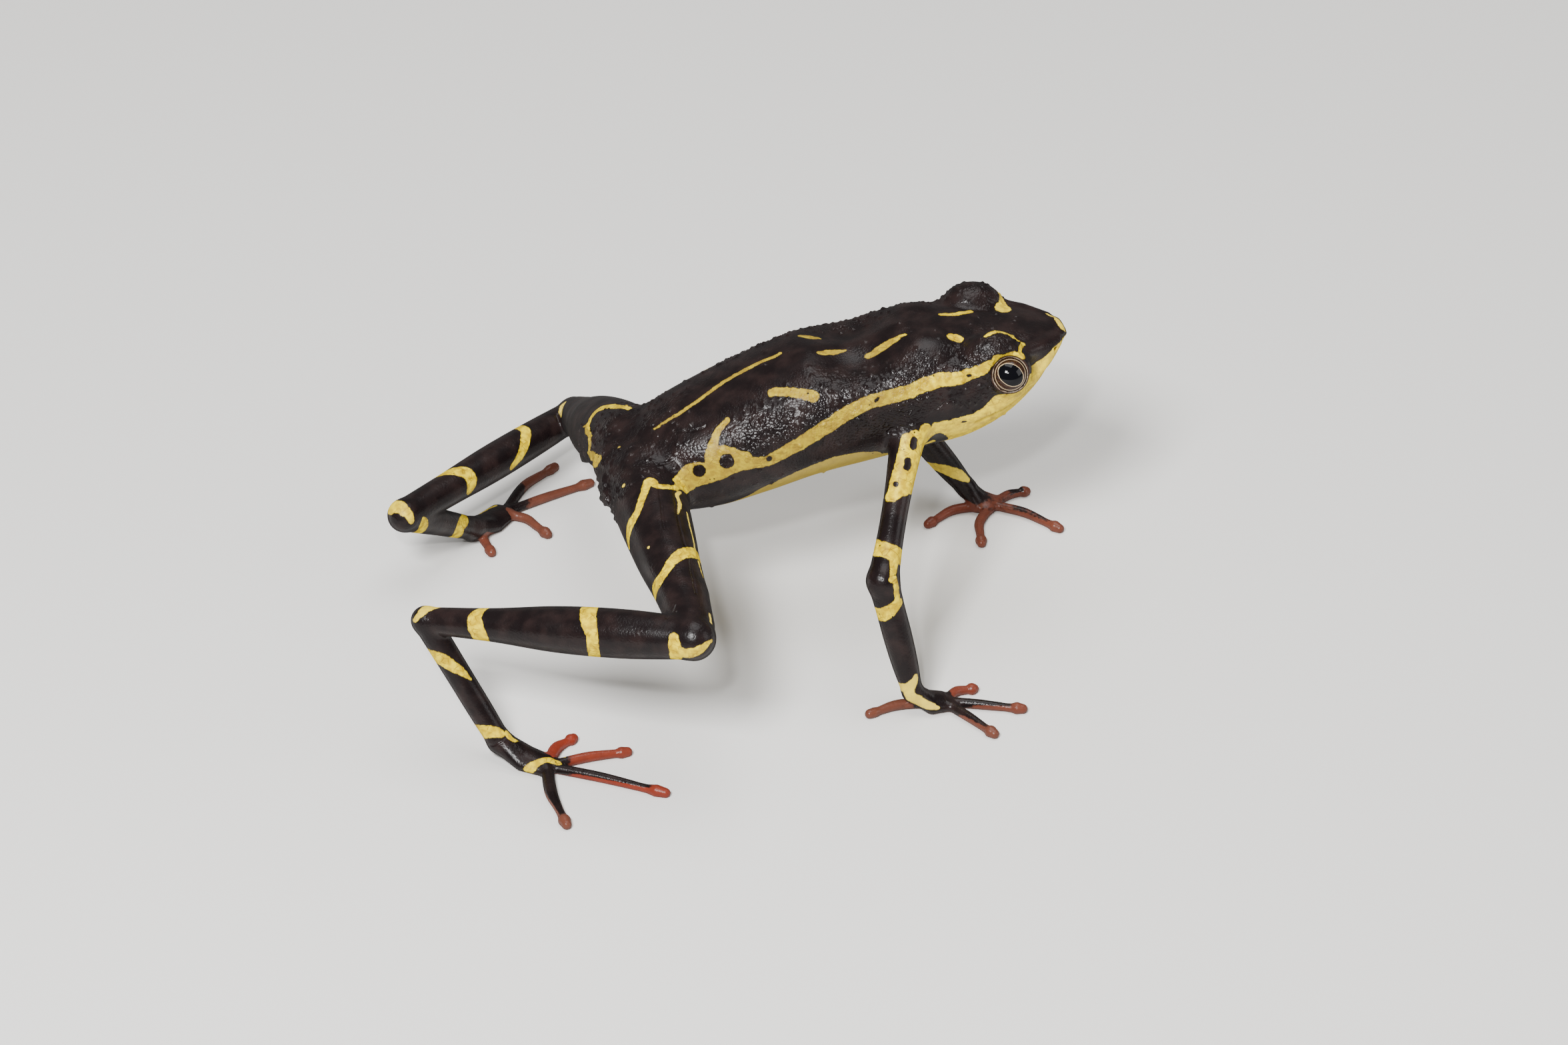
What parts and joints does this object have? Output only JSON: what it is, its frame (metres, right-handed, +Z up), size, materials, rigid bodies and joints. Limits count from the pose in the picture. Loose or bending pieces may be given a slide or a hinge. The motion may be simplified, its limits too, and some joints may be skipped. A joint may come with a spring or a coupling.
{
  "type": "pebas stubfoot toad",
  "caption": "Small slender toad, black with yellow stripes and spots and reddish digits, standing alert on splayed legs with its head raised.",
  "frame": {"origin": "on the floor under the middle of the toad's box", "axes": "+X toward the snout, +Y toward the toad's left side, +Z up"},
  "size_m": [0.0422, 0.0374, 0.0194],
  "materials": {
    "skin": "satin",
    "digits": "satin",
    "eye": "gloss"
  },
  "bodies": {
    "root": {"torso": "skin", "head": "skin", "eye_left": "eye", "eye_right": "eye", "upper_arm_left": "skin", "forearm_left": "skin", "hand_left": "skin", "finger_1_left": "digits", "finger_2_left": "digits", "finger_3_left": "digits", "finger_4_left": "digits", "thigh_left": "skin", "shank_left": "skin", "tarsus_left": "skin", "foot_left": "skin", "toe_2_left": "digits", "toe_3_left": "digits", "toe_4_left": "digits", "toe_5_left": "digits", "upper_arm_right": "skin", "forearm_right": "skin", "hand_right": "skin", "finger_1_right": "digits", "finger_2_right": "digits", "finger_3_right": "digits", "finger_4_right": "digits", "thigh_right": "skin", "shank_right": "skin", "tarsus_right": "skin", "foot_right": "skin", "toe_2_right": "digits", "toe_3_right": "digits", "toe_4_right": "digits", "toe_5_right": "digits"}
  },
  "joints": []
}
